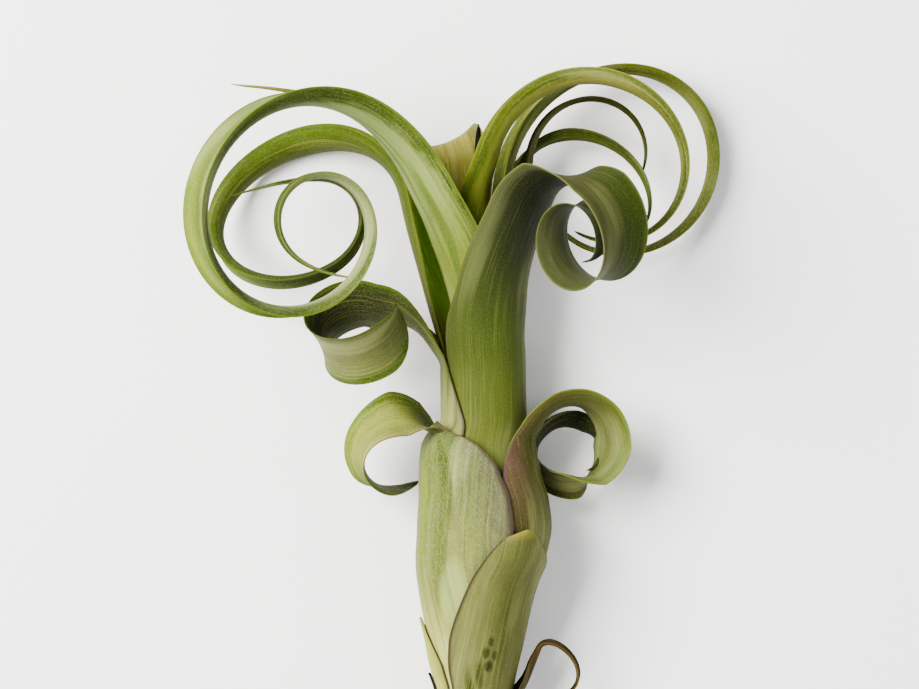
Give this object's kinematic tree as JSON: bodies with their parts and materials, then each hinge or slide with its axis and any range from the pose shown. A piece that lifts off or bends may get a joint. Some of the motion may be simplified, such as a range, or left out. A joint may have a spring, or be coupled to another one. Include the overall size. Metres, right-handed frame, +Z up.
{
  "type": "air plant",
  "caption": "Slim air plant lying on a surface: a bulb of wrapped sheaths, and narrow leaves that curl into open rings and rolls.",
  "frame": {"origin": "centre of the bounding box's footprint, on the plane z = 0 that the plant lies on", "axes": "+Y from the cut stem to the leaf tips, +Z up from the surface, +X to the right seen from above"},
  "size_m": [0.1586, 0.2148, 0.0867],
  "materials": {
    "silver_leaf": "matte with fine silvery scales and lengthwise streaks",
    "olive_leaf": "matte, mottled olive",
    "green_leaf": "satin green, darker towards the tip",
    "dark_leaf": "matte, dark and partly dried",
    "stem_bark": "rough, fibrous"
  },
  "bodies": {
    "root": {"stem": "stem_bark", "basal_leaf_left": "dark_leaf", "basal_leaf_right": "dark_leaf", "lower_left_sheath": "silver_leaf", "front_sheath": "olive_leaf", "left_sheath_leaf": "silver_leaf", "right_sheath_leaf": "olive_leaf", "left_roll_leaf": "silver_leaf", "front_leaf": "green_leaf", "upper_left_leaf": "silver_leaf", "upper_right_leaf": "olive_leaf", "right_ring_leaf": "olive_leaf", "upper_left_rear_leaf": "green_leaf", "right_thin_leaf": "dark_leaf", "right_rear_leaf": "green_leaf", "centre_back_leaf": "olive_leaf", "left_thin_leaf": "olive_leaf", "heart_leaf": "dark_leaf"}
  },
  "joints": []
}
